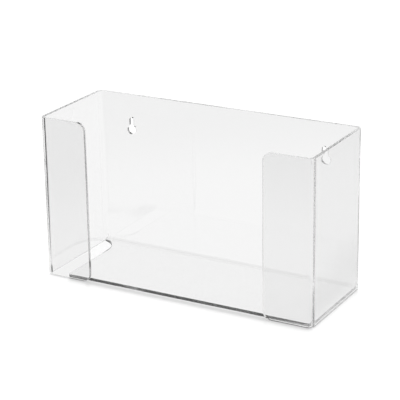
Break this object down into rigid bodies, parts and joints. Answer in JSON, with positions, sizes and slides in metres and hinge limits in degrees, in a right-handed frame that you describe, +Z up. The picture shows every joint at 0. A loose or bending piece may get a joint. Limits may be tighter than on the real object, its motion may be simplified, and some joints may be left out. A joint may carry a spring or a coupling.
{
  "type": "disposable glove dispenser",
  "caption": "Clear acrylic holder for a carton of disposable gloves, bent from a single sheet, open at the top, with a wide gap between two front lips and keyholes for hanging.",
  "frame": {"origin": "middle of the foot: the centre of the outer box's underside", "axes": "+X along the width, to the right of a person facing the front lips; +Y from the front lips to the back; +Z up"},
  "size_m": [0.268, 0.1, 0.15],
  "materials": {
    "clear_acrylic": "clear cast acrylic with polished faces and laser-cut edges"
  },
  "bodies": {
    "root": {"glove_holder": "clear_acrylic"}
  },
  "joints": []
}
